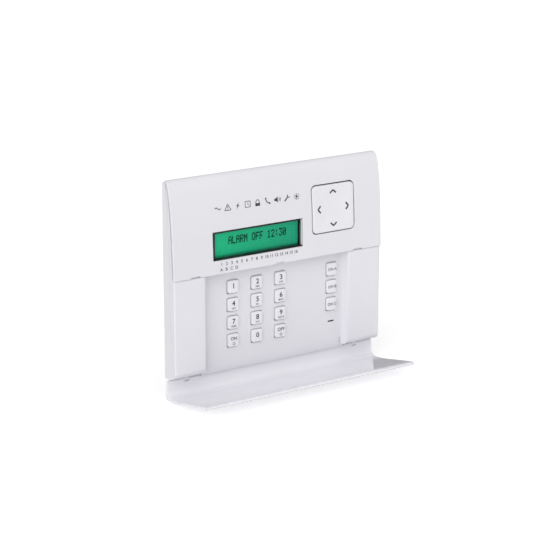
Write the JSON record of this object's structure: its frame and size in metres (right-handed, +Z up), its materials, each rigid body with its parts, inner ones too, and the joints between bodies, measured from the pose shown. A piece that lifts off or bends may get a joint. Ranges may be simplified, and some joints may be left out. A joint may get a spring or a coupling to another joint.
{
  "type": "wall alarm keypad",
  "caption": "White wall keypad with a green text display, a square navigation pad, square push keys in a recess and a flip-down door on a bottom hinge.",
  "frame": {"origin": "on the wall face, on the case's centre line, half way between the case's top and the bottoms of its side pillars", "axes": "+Z up, the front of the keypad faces -Y, the wall is behind it at +Y, +X is to the viewer's right as seen from the front"},
  "size_m": [0.155, 0.067, 0.1412],
  "materials": {
    "case_plastic": "fine satin moulded ABS, cool white",
    "cover_plastic": "smooth semi-gloss ABS, cool white",
    "door_plastic": "smooth semi-gloss ABS, cool white",
    "key_plastic": "satin key plastic with printed legends",
    "nav_plastic": "satin plastic with printed arrows",
    "inner_plastic": "plain moulded",
    "window_clear": "clear moulded window, polished",
    "display_green": "lit green display",
    "display_frame": "black",
    "circuit_board": "green solder mask",
    "mat_rubber": "grey silicone",
    "black_plastic": "black moulded",
    "terminal_plastic": "green moulded",
    "screw_steel": "zinc plated"
  },
  "bodies": {
    "housing": {"rear_cover": "case_plastic", "front_housing": "case_plastic", "display_cover": "cover_plastic", "lcd_backlight": "inner_plastic", "display_window": "window_clear", "icon_light_guide": "window_clear", "lcd_glass": "display_green", "lcd_bezel": "display_frame", "lcd_board": "circuit_board", "icon_led_board": "circuit_board", "main_board": "circuit_board", "key_mat": "mat_rubber", "display_header": "black_plastic", "nav_switch": "black_plastic", "buzzer": "black_plastic", "processor": "black_plastic", "tamper_switch": "black_plastic", "terminal_block": "terminal_plastic", "case_screw_1": "screw_steel", "case_screw_2": "screw_steel", "case_screw_3": "screw_steel", "case_screw_4": "screw_steel", "board_screw_1": "screw_steel", "board_screw_2": "screw_steel", "board_screw_3": "screw_steel", "board_screw_4": "screw_steel", "display_screw_1": "screw_steel", "display_screw_2": "screw_steel", "display_screw_3": "screw_steel", "display_screw_4": "screw_steel"},
    "door": {"door": "door_plastic"},
    "nav_tilt": {"nav_gimbal": "inner_plastic"},
    "nav_pad": {"nav_pad": "nav_plastic"},
    "tamper": {"tamper_plunger": "inner_plastic"},
    "key_1": {"key_1": "key_plastic"},
    "key_2": {"key_2": "key_plastic"},
    "key_3": {"key_3": "key_plastic"},
    "key_4": {"key_4": "key_plastic"},
    "key_5": {"key_5": "key_plastic"},
    "key_6": {"key_6": "key_plastic"},
    "key_7": {"key_7": "key_plastic"},
    "key_8": {"key_8": "key_plastic"},
    "key_9": {"key_9": "key_plastic"},
    "key_on": {"key_on": "key_plastic"},
    "key_0": {"key_0": "key_plastic"},
    "key_off": {"key_off": "key_plastic"},
    "key_a": {"key_a": "key_plastic"},
    "key_b": {"key_b": "key_plastic"},
    "key_c": {"key_c": "key_plastic"}
  },
  "joints": [
    {"name": "door_hinge", "type": "hinge", "parent": "housing", "child": "door", "pos_m": [0, -0.0172, -0.0649], "axis": [-1, 0, 0], "range_deg": [0, 78]},
    {"name": "key_1_press", "type": "slide", "parent": "housing", "child": "key_1", "axis": [0, 1, 0], "range_m": [0, 0.001], "stiffness_N_per_m": 250},
    {"name": "key_2_press", "type": "slide", "parent": "housing", "child": "key_2", "axis": [0, 1, 0], "range_m": [0, 0.001], "stiffness_N_per_m": 250},
    {"name": "key_3_press", "type": "slide", "parent": "housing", "child": "key_3", "axis": [0, 1, 0], "range_m": [0, 0.001], "stiffness_N_per_m": 250},
    {"name": "key_4_press", "type": "slide", "parent": "housing", "child": "key_4", "axis": [0, 1, 0], "range_m": [0, 0.001], "stiffness_N_per_m": 250},
    {"name": "key_5_press", "type": "slide", "parent": "housing", "child": "key_5", "axis": [0, 1, 0], "range_m": [0, 0.001], "stiffness_N_per_m": 250},
    {"name": "key_6_press", "type": "slide", "parent": "housing", "child": "key_6", "axis": [0, 1, 0], "range_m": [0, 0.001], "stiffness_N_per_m": 250},
    {"name": "key_7_press", "type": "slide", "parent": "housing", "child": "key_7", "axis": [0, 1, 0], "range_m": [0, 0.001], "stiffness_N_per_m": 250},
    {"name": "key_8_press", "type": "slide", "parent": "housing", "child": "key_8", "axis": [0, 1, 0], "range_m": [0, 0.001], "stiffness_N_per_m": 250},
    {"name": "key_9_press", "type": "slide", "parent": "housing", "child": "key_9", "axis": [0, 1, 0], "range_m": [0, 0.001], "stiffness_N_per_m": 250},
    {"name": "key_on_press", "type": "slide", "parent": "housing", "child": "key_on", "axis": [0, 1, 0], "range_m": [0, 0.001], "stiffness_N_per_m": 250},
    {"name": "key_0_press", "type": "slide", "parent": "housing", "child": "key_0", "axis": [0, 1, 0], "range_m": [0, 0.001], "stiffness_N_per_m": 250},
    {"name": "key_off_press", "type": "slide", "parent": "housing", "child": "key_off", "axis": [0, 1, 0], "range_m": [0, 0.001], "stiffness_N_per_m": 250},
    {"name": "key_a_press", "type": "slide", "parent": "housing", "child": "key_a", "axis": [0, 1, 0], "range_m": [0, 0.001], "stiffness_N_per_m": 250},
    {"name": "key_b_press", "type": "slide", "parent": "housing", "child": "key_b", "axis": [0, 1, 0], "range_m": [0, 0.001], "stiffness_N_per_m": 250},
    {"name": "key_c_press", "type": "slide", "parent": "housing", "child": "key_c", "axis": [0, 1, 0], "range_m": [0, 0.001], "stiffness_N_per_m": 250},
    {"name": "nav_up_down", "type": "hinge", "parent": "housing", "child": "nav_tilt", "pos_m": [0.04037, -0.02111, 0.03295], "axis": [1, 0, 0], "range_deg": [-2.5, 2.5], "stiffness_Nm_per_rad": 0.15},
    {"name": "nav_left_right", "type": "hinge", "parent": "nav_tilt", "child": "nav_pad", "pos_m": [0.04037, -0.02111, 0.03295], "axis": [0, 0.061, 0.9981], "range_deg": [-2.5, 2.5], "stiffness_Nm_per_rad": 0.15},
    {"name": "tamper_press", "type": "slide", "parent": "housing", "child": "tamper", "axis": [0, -1, 0], "range_m": [0, 0.0012], "stiffness_N_per_m": 150}
  ]
}
